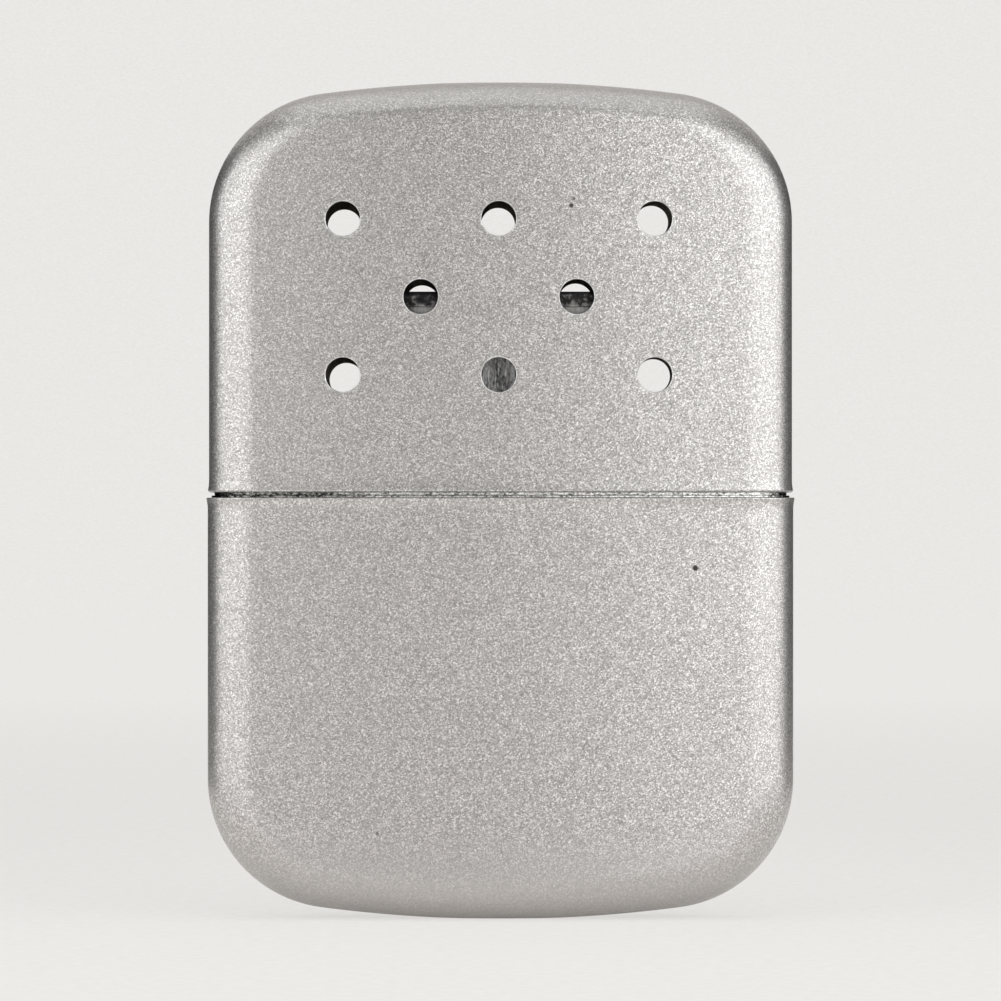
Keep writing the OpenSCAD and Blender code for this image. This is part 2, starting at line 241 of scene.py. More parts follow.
def lofted(stations, columns, point, closed=False):
    """A grid whose rows are laid on stations and whose columns run round a ring."""
    bm = bmesh.new()
    rows = len(stations) if closed else len(stations) - 1
    bmesh.ops.create_grid(bm, x_segments=columns, y_segments=rows, size=0.5)
    for v in bm.verts:
        column = round((v.co.x + 0.5) * columns)
        row = round((v.co.y + 0.5) * rows) % len(stations)
        v.co = Vector(point(stations[row], column)) * MM
    bmesh.ops.remove_doubles(bm, verts=bm.verts, dist=1e-7)
    bmesh.ops.dissolve_degenerate(bm, edges=bm.edges, dist=1e-8)
    bmesh.ops.recalc_face_normals(bm, faces=bm.faces)
    return bm


def spun(bm, outline, place, steps=64):
    """Turns an outline of (radius, height) about the z axis of place."""
    before = set(bm.verts)
    points = [bm.verts.new((r * MM, 0, z * MM)) for r, z in outline]
    edges = [bm.edges.new(pair) for pair in zip(points, points[1:])]
    bmesh.ops.spin(bm, geom=points + edges, cent=(0, 0, 0), axis=(0, 0, 1),
                   angle=2 * math.pi, steps=steps, use_merge=True)
    turned = [v for v in bm.verts if v not in before]
    bmesh.ops.transform(bm, matrix=place, verts=turned)


def facing(direction, spot):
    """The place at spot, in millimetres, whose z axis points in a direction."""
    turn = Vector((0, 0, 1)).rotation_difference(Vector(direction).normalized())
    return Matrix.Translation(Vector(spot) * MM) @ turn.to_matrix().to_4x4()


def closed_up(bm):
    """Welds the seams and poles of spun forms and turns their faces outwards."""
    bmesh.ops.remove_doubles(bm, verts=bm.verts, dist=1e-7)
    bmesh.ops.recalc_face_normals(bm, faces=bm.faces)
    return bm


def cut(bm, cutter):
    """bm with the closed forms in cutter taken out of it."""
    pair = []
    for name, form in (("blank", bm), ("punch", cutter)):
        mesh = bpy.data.meshes.new(name)
        form.to_mesh(mesh)
        pair.append(placed(name, mesh))
    cutter.free()
    blank, punch = pair
    step = blank.modifiers.new("punch", "BOOLEAN")
    step.operation = "DIFFERENCE"
    step.solver = "EXACT"
    step.object = punch
    done = evaluated(blank)
    bm.clear()
    bm.from_mesh(done)
    for made in pair:
        bpy.data.objects.remove(made)
    return bm


# ---------------------------------------------------------------- the drawn form


def crown_z(form):
    """Height of the centre of the crown's arc over the mouth."""
    return form.height + END_FLAT - CROWN_R


def corner_x(form):
    """Distance of a corner's centre from the middle."""
    return form.half_w - CORNER_R


def corner_z(form):
    """Height of a corner's centre, from which its arc runs into the crown's."""
    return crown_z(form) + math.sqrt((CROWN_R - CORNER_R) ** 2 - corner_x(form) ** 2)


def corner_end(form):
    """The angle at which a corner's arc meets the crown's."""
    return math.atan2(corner_z(form) - crown_z(form), corner_x(form))


def half_width(form, inset, h):
    """Half the outline's width at height h above the mouth, with the outline moved in."""
    rise = h - corner_z(form)
    if rise <= 0:
        return form.half_w - inset
    if rise <= (CORNER_R - inset) * math.sin(corner_end(form)):
        return corner_x(form) + math.sqrt((CORNER_R - inset) ** 2 - rise ** 2)
    return math.sqrt(max(0, (CROWN_R - inset) ** 2 - (h - crown_z(form)) ** 2))


def edge_at(form, inset, x, h):
    """How far x, h lies inside the outline, and the direction of its nearest point."""
    if h <= corner_z(form):
        return form.half_w - inset - x, 0
    turn = math.atan2(h - corner_z(form), x - corner_x(form))
    if turn <= corner_end(form):
        return CORNER_R - inset - math.hypot(x - corner_x(form), h - corner_z(form)), turn
    rise = h - crown_z(form)
    return CROWN_R - inset - math.hypot(x, rise), math.atan2(rise, x)


def half_thickness(form, inset, x, h):
    """Half the thickness at x, h: a bulged face with a quarter-ellipse round its edge."""
    depth, turn = edge_at(form, inset, x, h)
    soft = SIDE_SOFT * math.cos(turn) ** 2 + form.end_soft * math.sin(turn) ** 2 - inset
    share = min(1, max(0, depth / soft))
    return (form.half_t - inset - x * x / (2 * FACE_R)) * math.sqrt(share * (2 - share))


EDGE_STEPS = 20
FACE_STEPS = 64
HALF_STEPS = 2 * EDGE_STEPS + FACE_STEPS
RING_STEPS = 2 * HALF_STEPS


def across(step):
    """Share of the half width at a step from one side of the case to the other."""
    edge_share = SIDE_SOFT / TANK.half_w
    if step <= EDGE_STEPS:
        return 1 - edge_share * (1 - math.cos(math.pi / 2 * step / EDGE_STEPS))
    if step >= EDGE_STEPS + FACE_STEPS:
        return -across(HALF_STEPS - step)
    return (1 - edge_share) * (1 - 2 * (step - EDGE_STEPS) / FACE_STEPS)


def ring_point(form, inset, h, step):
    """A point of the ring at height h: over the back first, then over the front."""
    side = 1 if step <= HALF_STEPS else -1
    x = across(step if side > 0 else RING_STEPS - step) * half_width(form, inset, h)
    return x, side * half_thickness(form, inset, abs(x), h)


def wall_heights(form, inset, low, pitch, corner_rows, crown_rows):
    """Heights of the rings of one side of the wall, from the crown down to height low."""
    crown_w = (CROWN_R - inset) * math.cos(corner_end(form))
    crown = [crown_z(form) + math.sqrt((CROWN_R - inset) ** 2 - (crown_w * share) ** 2)
             for share in spread(0, 1, crown_rows)]
    corner = [corner_z(form) + (CORNER_R - inset) * math.sin(corner_end(form) * share)
              for share in spread(1, 0, corner_rows)]
    straight = spread(corner_z(form), low, round((corner_z(form) - low) / pitch))
    return crown + corner[1:] + straight[1:]


def flare(h):
    """How far the rim stands out at height h over the mouth."""
    return RIM_FLARE * max(0, 1 - h / FLARE_H) ** 2


def shell_stations(form, outer_round):
    """Rows of a shell as (inset, height): down the outside, round the lip, up the inside."""
    outside = [(-flare(h), h) for h in wall_heights(form, inset=0, low=FLARE_H, pitch=1,
                                                    corner_rows=26, crown_rows=16)]
    outside += [(-flare(h), h) for h in spread(FLARE_H, outer_round, 7)[1:]]
    edge = -flare(outer_round)
    lip = [(edge + outer_round * (1 - math.cos(a)), outer_round * (1 - math.sin(a)))
           for a in spread(0, math.pi / 2, 3)[1:]]
    lip += [(WALL - INNER_LIP_ROUND * (1 - math.sin(a)), INNER_LIP_ROUND * (1 - math.cos(a)))
            for a in spread(0, math.pi / 2, 2)]
    inside = [(WALL, h) for h in reversed(wall_heights(form, inset=WALL, low=1, pitch=2,
                                                       corner_rows=14, crown_rows=8))]
    return outside + lip + inside


def shell(form, mouth, up, lip_round):
    """A drawn cup of the form, with its mouth at a height and its crown up or down."""
    def point(station, step):
        inset, h = station
        x, y = ring_point(form, inset, h, step)
        return x, y, mouth + up * min(h, form.height - max(0, inset))
    return lofted(shell_stations(form, lip_round), RING_STEPS, point)


def mark_inside(piece, form, mouth, spots=()):
    """Gives the faces of a shell's inner wall its second material, and those on the rounded
    edges of the vents at spots its third, a pale metal that paints a highlight round each rim."""
    reach = VENT_R + VENT_ROUND
    for face in piece.data.polygons:
        x, y, z = face.center / MM
        up = abs(z - mouth)
        wall = half_thickness(form, WALL / 2, min(abs(x), form.half_w), up)
        face.material_index = int(abs(y) < wall - 0.05 and up < form.height - WALL / 2
                                  and abs(x) < half_width(form, WALL / 2, up))
        corners = [piece.data.vertices[i].co / MM for i in face.vertices]
        for at, h, side in spots:
            if y * side > wall + 0.15 and all(
                    math.hypot(corner.x - at - VENT_SHIFT, corner.z - mouth - h) < reach
                    for corner in corners):
                face.material_index = 2


def vent_spots():
    """Each vent's x, height over the lid's rim and side: -1 in front, 1 behind."""
    spots = []
    for row in (-1, 0, 1):
        for x in ((-0.5, 0.5) if row == 0 else (-1, 0, 1)):
            flat = Vector((x * VENT_PITCH, row * VENT_ROW))
            spots.append((flat.x, VENT_MID + flat.y, -1))
            turned = Matrix.Rotation(BACK_TURN, 2) @ flat
            spots.append((turned.x, VENT_MID - BACK_DROP + turned.y, 1))
    return spots


def vent_punches():
    """Round punches with a flared shoulder, which leaves a small rounding on each rim."""
    clear = 0.5
    brim = 0.045
    outline = [(0, -clear), (VENT_R + clear, -clear), (VENT_R + clear, -brim)]
    outline += [(VENT_R + VENT_ROUND * (1 - math.sin(a)), VENT_ROUND * (1 - math.cos(a)))
                for a in spread(math.radians(15), math.pi / 2, 4)]
    outline += [(VENT_R, WALL + clear), (0, WALL + clear)]
    bm = bmesh.new()
    for x, h, side in vent_spots():
        x += VENT_SHIFT
        spot = (x, side * half_thickness(LID, 0, abs(x), h), LID_Z + h)
        spun(bm, outline, facing((-x / FACE_R, -side, 0), spot))
    return closed_up(bm)


# ---------------------------------------------------------------- stadium forms

ARC_STEPS = 24
SIDE_STEPS = 24
STADIUM_STEPS = 2 * (ARC_STEPS + SIDE_STEPS)


def stadium_point(l, w, step):
    """A point at a step of the way round a stadium l long and w wide."""
    half, at = divmod(step % STADIUM_STEPS, ARC_STEPS + SIDE_STEPS)
    side = 1 - 2 * half
    straight = (l - w) / 2
    if at > ARC_STEPS:
        return side * straight * (1 - 2 * (at - ARC_STEPS) / SIDE_STEPS), side * w / 2
    turn = math.pi * (at / ARC_STEPS - 0.5)
    return side * (straight + w / 2 * math.cos(turn)), side * w / 2 * math.sin(turn)


def stadium_form(stations, closed=True):
    """A form lofted through stadiums, each given as (length, width, height)."""
    return lofted(stations, STADIUM_STEPS,
                  lambda at, step: (*stadium_point(at[0], at[1], step), at[2]), closed)


def wider(outline, by):
    """A stadium's length and width, moved out all round."""
    return outline[0] + 2 * by, outline[1] + 2 * by


def spine(outline):
    """The stadium shrunk to the line along its middle."""
    return outline[0] - outline[1], 0


def window_punches(width, depth, low, high):
    """Three blocks, a window pitch apart, between two heights."""
    bm = bmesh.new()
    for i in (-1, 0, 1):
        size = Matrix.Diagonal((width, depth, high - low, 1 / MM)) * MM
        spot = Matrix.Translation(Vector((i * WINDOW_PITCH, 0, (low + high) / 2)) * MM)
        bmesh.ops.create_cube(bm, size=1, matrix=spot @ size)
    return bm


def rounded_along(bm, axis, radius):
    """Rounds the edges of a form's blocks that run along one axis."""
    along = [e for e in bm.edges
             if abs((e.verts[0].co - e.verts[1].co).normalized()[axis]) > 0.99]
    bmesh.ops.bevel(bm, geom=along, offset=radius * MM, segments=5, profile=0.5,
                    material=-1, affect="EDGES")
    return bm


def softened(node, width):
    """A merged copy of a node's solids with its sharp edges rounded."""
    bm = bmesh.new()
    bm.from_mesh(frame["nodes"][node].data)
    bmesh.ops.remove_doubles(bm, verts=bm.verts, dist=1e-6)
    bmesh.ops.dissolve_limit(bm, angle_limit=math.radians(1), verts=bm.verts, edges=bm.edges)
    sharp = [e for e in bm.edges
             if e.is_manifold and e.calc_face_angle() > math.radians(40)]
    bmesh.ops.bevel(bm, geom=sharp, offset=width * MM, segments=2, profile=0.5,
                    material=-1, affect="EDGES", clamp_overlap=True)
    return bm


def woven_gauze(l, w, z):
    """A stadium of gauze: round wires that pass over and under each other."""
    curve = bpy.data.curves.new("wires", "CURVE")
    curve.dimensions = "3D"
    curve.bevel_depth = WIRE_D / 2 * MM
    curve.bevel_resolution = 0
    curve.use_fill_caps = True
    rise = WIRE_D / 2
    for along_x in (True, False):
        reach = w / 2 if along_x else l / 2
        count = math.floor((reach - WIRE_D) / WIRE_PITCH)
        for i in range(-count, count + 1):
            at = i * WIRE_PITCH
            if along_x:
                end = (l - w) / 2 + math.sqrt((w / 2) ** 2 - at ** 2)
            else:
                end = math.sqrt((w / 2) ** 2 - max(0, abs(at) - (l - w) / 2) ** 2)
            sign = rise * (1 if (i % 2 == 0) == along_x else -1)
            steps = 2 * math.ceil(2 * end / WIRE_PITCH)
            line = curve.splines.new("POLY")
            line.points.add(steps)
            for point, s in zip(line.points, spread(-end, end, steps)):
                flat = (s, at) if along_x else (at, s)
                height = z + sign * math.cos(math.pi * s / WIRE_PITCH)
                point.co = (flat[0] * MM, flat[1] * MM, height * MM, 1)
    made = placed("wires", curve)
    bm = bmesh.new()
    bm.from_mesh(bpy.data.meshes.new_from_object(made))
    bpy.data.objects.remove(made)
    return bm


# ---------------------------------------------------------------- pads

CLOTH_FRAMES = 15
PRESSURE = 3


def swollen(node, shrink, voxel, smooth):
    """A node's solid taken in a little and rounded off, then blown up like a stuffed pad in a
    cloth run, which moves no point further than it was taken in."""
    bm = bmesh.new()
    bm.from_mesh(frame["nodes"][node].data)
    bmesh.ops.remove_doubles(bm, verts=bm.verts, dist=1e-6)
    mesh = bpy.data.meshes.new("blank")
    bm.to_mesh(mesh)
    blank = placed("blank", mesh)
    remesh = blank.modifiers.new("remesh", "REMESH")
    remesh.mode = "VOXEL"
    remesh.voxel_size = voxel * MM
    even = evaluated(blank)
    blank.modifiers.clear()
    bm.clear()
    bm.from_mesh(even)
    bm.normal_update()
    for v in bm.verts:
        v.co -= v.normal * shrink * MM
    for _ in range(smooth):
        bmesh.ops.smooth_vert(bm, verts=bm.verts, factor=0.5, use_axis_x=True,
                              use_axis_y=True, use_axis_z=True)
    start = [v.co.copy() for v in bm.verts]
    bm.to_mesh(even)
    blank.data = even
    cloth = blank.modifiers.new("cloth", "CLOTH")
    cloth.settings.use_pressure = True
    cloth.settings.uniform_pressure_force = PRESSURE
    cloth.settings.effector_weights.gravity = 0
    cloth.settings.quality = 4
    scene = bpy.context.scene
    for number in range(1, CLOTH_FRAMES + 1):
        scene.frame_set(number)
    done = evaluated(blank)
    scene.frame_set(1)
    for v, first, last in zip(bm.verts, start, done.vertices):
        move = last.co - first
        v.co = first + move * min(1, shrink * MM / max(move.length, 1e-9))
    bpy.data.objects.remove(blank)
    return bm


def kept_inside(bm, node):
    """Holds every point inside the node's box, so that a pad never stands proud of it."""
    clear = 0.02
    low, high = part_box(node)
    for v in bm.verts:
        for axis in range(3):
            v.co[axis] = min(max(v.co[axis], low[axis] + clear * MM), high[axis] - clear * MM)
    return bm


def lumpy(bm, size, depth, stretch):
    """Moves each point along its normal by smooth noise, inwards only."""
    bm.normal_update()
    for v in bm.verts:
        place = Vector(a / (size * MM * s) for a, s in zip(v.co, stretch))
        v.co -= v.normal * depth * MM * (0.5 + 0.5 * noise.noise(place))
    return bm


# ---------------------------------------------------------------- materials


def object_place(tree, stretch=(1, 1, 1)):
    """Object coordinates in millimetres, with the pattern drawn out along an axis."""
    place = add(tree, "ShaderNodeTexCoord").outputs["Object"]
    return add(tree, "ShaderNodeMapping",
               {"Vector": place, "Scale": [1 / (MM * s) for s in stretch]}).outputs["Vector"]


def axes_of(tree, place):
    """The X, Y and Z of a place."""
    return add(tree, "ShaderNodeSeparateXYZ", {"Vector": place}).outputs


def grain(tree, place, size, detail=2, rough=0.5):
    """Noise with grains of a size in millimetres."""
    return add(tree, "ShaderNodeTexNoise",
               {"Vector": place, "Scale": 1 / size, "Detail": detail,
                "Roughness": rough}).outputs["Fac"]


def cells(tree, place, size):
    """Cells of a size in millimetres: a random colour and a random share for each."""
    made = add(tree, "ShaderNodeTexVoronoi", {"Vector": place, "Scale": 1 / size})
    colour = made.outputs["Color"]
    return colour, add(tree, "ShaderNodeSeparateColor", {"Color": colour}).outputs["Red"]


def tones(tree, factor, *stops):
    """A ramp through (position, colour) stops."""
    ramp = add(tree, "ShaderNodeValToRGB", {"Fac": factor})
    elements = ramp.color_ramp.elements
    while len(elements) < len(stops):
        elements.new(0.5)
    for element, (position, colour) in zip(elements, stops):
        element.position = position
        element.color = srgb(colour)
    return ramp.outputs["Color"]


def sums(tree, operation, a, b=0.0):
    """The result of one step of arithmetic."""
    return add(tree, "ShaderNodeMath", {0: a, 1: b}, operation=operation).outputs["Value"]


def plus(tree, a, b):
    return sums(tree, "ADD", a, b)


def times(tree, a, b):
    return sums(tree, "MULTIPLY", a, b)


def blend(tree, share, a, b):
    """A share of a and the rest of b."""
    return plus(tree, times(tree, a, share), times(tree, b, 1 - share))


def vectors(tree, operation, inputs, result="Vector"):
    """The result of one step of vector arithmetic."""
    return add(tree, "ShaderNodeVectorMath", inputs, operation=operation).outputs[result]


def between(tree, value, low, high, to_low=0.0, to_high=1.0):
    """A value that runs from low to high, mapped to run from to_low to to_high."""
    return add(tree, "ShaderNodeMapRange",
               {"Value": value, "From Min": low, "From Max": high,
                "To Min": to_low, "To Max": to_high}).outputs["Result"]


def mixed(tree, factor, a, b):
    """Colour a where factor is 0, colour b where it is 1."""
    made = add(tree, "ShaderNodeMix", data_type="RGBA")
    for socket, value in ((0, factor), (6, a), (7, b)):
        if isinstance(value, bpy.types.NodeSocket):
            tree.links.new(value, made.inputs[socket])
        else:
            made.inputs[socket].default_value = srgb(value)
    return made.outputs[2]


def bumped(tree, height, depth, normal=None):
    """A normal moved by a height that spans depth, in millimetres."""
    inputs = {"Height": height, "Distance": depth * MM, "Strength": 1.0}
    if normal:
        inputs["Normal"] = normal
    return add(tree, "ShaderNodeBump", inputs).outputs["Normal"]


def stoving_paint(name, form, rim_z, blemishes):
    """Silver metallic stoving paint, sprayed: aluminium flakes in a satin lacquer give fine
    bright and dark grains, which fade where the coat runs out over the crown and the base.
    It is rubbed through to steel in spots along the shell's rim."""
    made, tree = material(name)
    place = object_place(tree)
    axes = axes_of(tree, place)
    coat = times(tree, between(tree, axes["Z"], 3.5, 12, 0.4, 1.0),
                 between(tree, axes["Z"], 95, 98, 1.0, 0.6))
    flakes, share = cells(tree, place, 0.125)
    level = plus(tree, times(tree, coat, sums(tree, "SUBTRACT", share, 0.62)), 0.62)
    paint = tones(tree, level, (0.0, "#8b8885"), (0.3, "#a4a19e"),
                  (0.7, "#b8b5b2"), (1.0, "#e6e3e0"))
    lean = vectors(tree, "SUBTRACT", {0: flakes, 1: (0.5, 0.5, 0.5)})
    tilt = vectors(tree, "SCALE", {0: lean, "Scale": times(tree, coat, 0.07)})
    normal = add(tree, "ShaderNodeNewGeometry").outputs["Normal"]
    tilted = vectors(tree, "NORMALIZE", {0: vectors(tree, "ADD", {0: tilt, 1: normal})})
    peel = bumped(tree, grain(tree, place, 1.1, 1), 0.01, tilted)
    rim = sums(tree, "ABSOLUTE", sums(tree, "SUBTRACT", axes["Z"], rim_z))
    near_rim = between(tree, rim, 0.1, 0.5, 1.0, 0.0)
    chips = grain(tree, place, 0.5, 4, 0.7)
    worn = between(tree, times(tree, near_rim, chips), 0.5, 0.56)
    colour = mixed(tree, worn, paint, "#c9c6c2")
    for x, z, radius, tone in blemishes:
        y = -half_thickness(form, 0, abs(x), abs(z - rim_z))
        off = vectors(tree, "DISTANCE", {0: place, 1: (x, y, z)}, result="Value")
        edge = plus(tree, off, times(tree, chips, 0.5 * radius))
        spot = between(tree, edge, 0.9 * radius, 1.25 * radius, 1.0, 0.0)
        colour = mixed(tree, spot, colour, tone)
    surface(tree, {"Base Color": colour, "Metallic": 0.9,
                   "Roughness": between(tree, worn, 0.0, 1.0, 0.36, 0.25), "Normal": peel})
    return made


def drawn_steel_inside():
    """Bare drawn steel inside, with drawn streaks and stains; its dark brown-grey is painted
    shade.
    """
    made, tree = material("bare_steel_painted_shade")
    streaks = grain(tree, object_place(tree, (1, 1, 14)), 0.35, 3)
    stains = grain(tree, object_place(tree), 7, 5, 0.6)
    colour = tones(tree, times(tree, stains, between(tree, streaks, 0.2, 0.8, 0.75, 1.15)),
                   (0.3, "#35302b"), (0.5, "#5b554e"), (0.7, "#7d766d"))
    surface(tree, {"Base Color": colour, "Metallic": 1.0,
                   "Roughness": between(tree, stains, 0.3, 0.7, 0.55, 0.38),
                   "Normal": bumped(tree, streaks, 0.01)})
    return made


def nickel_plate():
    """Bright nickel plate on a pressed strip: soft smudges and upright rub marks, and in the
    seam a crust of dark specks and chips of the case's paint. Painted shade makes the crust
    blackest at the left and at each end, and painted light makes it paler to the right."""
    made, tree = material("bright_nickel_plate")
    place = object_place(tree)
    specks = grain(tree, object_place(tree, (1.3, 1.3, 0.8)), 0.34, 5, 0.75)
    patches = grain(tree, place, 3.5, 3)
    rubs = grain(tree, object_place(tree, (1, 1, 12)), 0.25, 3)
    axes = axes_of(tree, place)
    # Painted shade and light: the crust darker at the left and at each end of the seam, paler
    # to the right
    side = plus(tree, between(tree, axes["X"], -20, -15, -0.05, 0.04),
                between(tree, axes["X"], 0, 20, 0.0, 0.03))
    shade_at_seam_ends = between(tree, sums(tree, "ABSOLUTE", axes["X"]), 31, 33, 0.0, -0.12)
    crust = tones(tree, plus(tree, specks, plus(tree, side, shade_at_seam_ends)), (0.38, "#1c1c1b"),
                  (0.46, "#6f6e6b"), (0.56, "#c9c8c5"), (0.66, "#f6f5f3"))
    plate = tones(tree, blend(tree, 0.6, rubs, patches),
                  (0.36, "#b4b1ac"), (0.5, "#cfccc7"), (0.64, "#e0ddd9"))
    seam_z = (LIP_Z + LID_Z) / 2
    from_seam = sums(tree, "ABSOLUTE", sums(tree, "SUBTRACT", axes["Z"], seam_z))
    in_seam = between(tree, from_seam, 0.4, 0.9, 1.0, 0.0)
    relief = plus(tree, times(tree, specks, in_seam), times(tree, rubs, 0.2))
    surface(tree, {"Base Color": mixed(tree, in_seam, plate, crust), "Metallic": 1.0,
                   "Roughness": between(tree, patches, 0.3, 0.7, 0.36, 0.2),
                   "Normal": bumped(tree, relief, 0.03)})
    return made


def tinplate(name, stretch):
    """Tinplate, pressed and soldered: soft lustre, fine rolling lines, dull spangles."""
    made, tree = material(name)
    place = object_place(tree)
    lines = grain(tree, object_place(tree, stretch), 0.12, 2)
    _, share = cells(tree, place, 1.8)
    level = plus(tree, grain(tree, place, 2.6, 4, 0.6),
                 between(tree, share, 0.0, 1.0, -0.06, 0.06))
    colour = tones(tree, level, (0.3, "#8d8880"), (0.5, "#b7b2a9"), (0.7, "#d2cec6"))
    surface(tree, {"Base Color": colour, "Metallic": 1.0,
                   "Roughness": between(tree, level, 0.3, 0.7, 0.42, 0.28),
                   "Normal": bumped(tree, lines, 0.008)})
    return made


def heated_stainless():
    """Stainless sheet that has been hot: straw and grey-blue temper tints that drift up the
    wall, over fine vertical drawing lines."""
    made, tree = material("heat_tinted_stainless")
    place = object_place(tree)
    clouds = grain(tree, place, 4.5, 3)
    heat = plus(tree, between(tree, axes_of(tree, place)["Z"], 51, 75),
                between(tree, clouds, 0.2, 0.8, -0.2, 0.2))
    tint = tones(tree, heat, (0.1, "#9a9792"), (0.4, "#a09380"), (0.6, "#8a7f7a"),
                 (0.78, "#8c8b8b"), (1.0, "#a8a5a1"))
    lines = grain(tree, object_place(tree, (1, 1, 18)), 0.18, 3)
    colour = mixed(tree, between(tree, lines, 0.35, 0.75, 0.0, 0.45), tint, "#5b5651")
    surface(tree, {"Base Color": colour, "Metallic": 1.0,
                   "Roughness": between(tree, lines, 0.2, 0.8, 0.28, 0.46),
                   "Normal": bumped(tree, lines, 0.006)})
    return made


def oxidised_cap():
    """Steel blackened by heat: a dull oxide skin, black at the top edge, with painted light
    that makes it paler towards the bottom."""
    made, tree = material("heat_blackened_steel")
    place = object_place(tree)
    skin = grain(tree, place, 0.9, 5, 0.65)
    wide = grain(tree, place, 4, 2)
    z = axes_of(tree, place)["Z"]
    # Painted light: paler towards the bottom of the cap
    painted_light_below = between(tree, z, CAP_TOP - CAP_H, CAP_TOP - 1.1, 0.13, 0.0)
    top = between(tree, z, CAP_TOP - 0.5, CAP_TOP - 0.15, 0.0, -0.14)
    colour = tones(tree, plus(tree, blend(tree, 0.85, skin, wide), plus(tree, painted_light_below, top)),
                   (0.36, "#0f0f0f"), (0.5, "#2d2c2c"), (0.62, "#7f7d7b"), (0.72, "#a5a29f"))
    surface(tree, {"Base Color": colour, "Metallic": 0.75,
                   "Roughness": between(tree, skin, 0.3, 0.7, 0.62, 0.45),
                   "Normal": bumped(tree, skin, 0.02)})
    return made


def sooty_wire():
    """Drawn steel wire, woven: brownish grey from heat, with patches of soot."""
    made, tree = material("sooty_steel_wire")
    soot = grain(tree, object_place(tree), 0.9, 4, 0.6)
    colour = tones(tree, soot, (0.35, "#3d3935"), (0.5, "#6d675f"), (0.68, "#989188"))
    surface(tree, {"Base Color": colour, "Metallic": 1.0,
                   "Roughness": between(tree, soot, 0.3, 0.7, 0.55, 0.32)})
    return made


def platinised_cloth():
    """Glass-fibre cloth greyed by its platinum coat: upright ribs of dark fibre with pale
    loose filaments. Filaments are drawn 0.1 mm thick, coarser than real, so that they show."""
    made, tree = material("platinised_glass_cloth")
    ribs = grain(tree, object_place(tree, (1, 1, 3)), 0.22, 4, 0.7)
    filaments = grain(tree, object_place(tree, (1, 1, 6)), 0.2, 3)
    blotches = grain(tree, object_place(tree, (1, 1, 1.6)), 1.2, 4, 0.7)
    coat = tones(tree, blend(tree, 0.5, ribs, blotches),
                 (0.4, "#4e4d4c"), (0.5, "#a9a8a6"), (0.6, "#eeedeb"))
    colour = mixed(tree, between(tree, filaments, 0.56, 0.64, 0.0, 0.85), coat, "#fafaf8")
    surface(tree, {"Base Color": colour, "Roughness": 0.92, "Sheen Weight": 0.25,
                   "Normal": bumped(tree, plus(tree, ribs, filaments), 0.12)})
    return made


def fibre_pad(name, thread, stretch, *stops, depth=0.12, sheen=0.3):
    """A mat of loose fibres: matted strands of thread size, painted paler on their crowns and
    darker between them, as painted shade.
    """
    made, tree = material(name)
    strands = grain(tree, object_place(tree, stretch), thread, 5, 0.65)
    tufts = grain(tree, object_place(tree), thread * 6, 3)
    surface(tree, {"Base Color": tones(tree, blend(tree, 0.6, strands, tufts), *stops),
                   "Roughness": 0.95, "Sheen Weight": sheen,
                   "Normal": bumped(tree, strands, depth)})
    return made


def turned_metal(name, low, high, rough):
    """Small metal parts: worn metal with dull and bright patches and fine scratches."""
    made, tree = material(name)
    patches = grain(tree, object_place(tree), 0.8, 5, 0.65)
    scratches = grain(tree, object_place(tree, (6, 1, 1)), 0.1, 2)
    surface(tree, {"Base Color": tones(tree, patches, (0.32, low), (0.68, high)),
                   "Metallic": 1.0,
                   "Roughness": between(tree, patches, 0.3, 0.7, rough + 0.12, rough - 0.06),
                   "Normal": bumped(tree, scratches, 0.006)})
    return made


# Small flaws in the paint: x, z, radius and tone
LID_MARKS = [(8.4, 84.8, 0.3, "#4d4946"), (8.7, 85.6, 0.2, "#6b6764")]
TANK_MARKS = [(23.1, 41.85, 0.4, "#3c3835"), (-14.6, 10.4, 0.26, "#7f7c79")]
PAINT_LID = stoving_paint("silver_stoving_paint_lid", LID, LID_Z, LID_MARKS)
PAINT_TANK = stoving_paint("silver_stoving_paint_tank", TANK, LIP_Z, TANK_MARKS)
# Vent rims: pale bright metal, a painted highlight round each punched hole
VENT_RIM_HIGHLIGHT = turned_metal("vent_rim_painted_highlight", "#a8a6a4", "#f6f6f5", 0.3)
# The dark inside of the shells is painted shade
SHADED_INSIDE = drawn_steel_inside()
NICKEL = nickel_plate()
TINPLATE = tinplate("tinplate", (12, 1, 1))
SCREEN = tinplate("punched_tinplate", (1, 12, 1))
STAINLESS = heated_stainless()
OXIDE = oxidised_cap()
WIRE = sooty_wire()
PLATINISED = platinised_cloth()
# Glass wool, teased and pressed into a block: white, with grey shadows between the strands
GLASS_WOOL = fibre_pad("glass_wool", 0.14, (5, 1, 1), (0.34, "#b9b6ad"), (0.5, "#dedbd2"),
                       (0.64, "#f3f1ea"))
# Wool felt, punched from sheet: cream, short matted hairs
FELT = fibre_pad("wool_felt", 0.1, (2, 2, 1), (0.34, "#b7a98d"), (0.5, "#d3c7ae"),
                 (0.64, "#e6dcc8"), depth=0.06, sheen=0.5)
# Cotton wadding, carded and folded: soft off-white, with long drifting strands
WADDING = fibre_pad("cotton_wadding", 0.2, (8, 1, 1), (0.34, "#d2cbbb"), (0.5, "#e8e3d6"),
                    (0.64, "#f6f3ea"), depth=0.2)
ALUMINIUM = turned_metal("riveted_aluminium", "#8f8f90", "#c6c7c9", 0.36)
BRONZE = turned_metal("phosphor_bronze_strip", "#7c5a36", "#b98d57", 0.34)

# ---------------------------------------------------------------- the case

lid = grown(cut(shell(LID, LID_Z, 1, LID_LIP_ROUND), vent_punches()), "painted_lid",
            [PAINT_LID, SHADED_INSIDE, VENT_RIM_HIGHLIGHT], "lid_shell")
mark_inside(lid, LID, LID_Z, vent_spots())
shade(lid, 12)

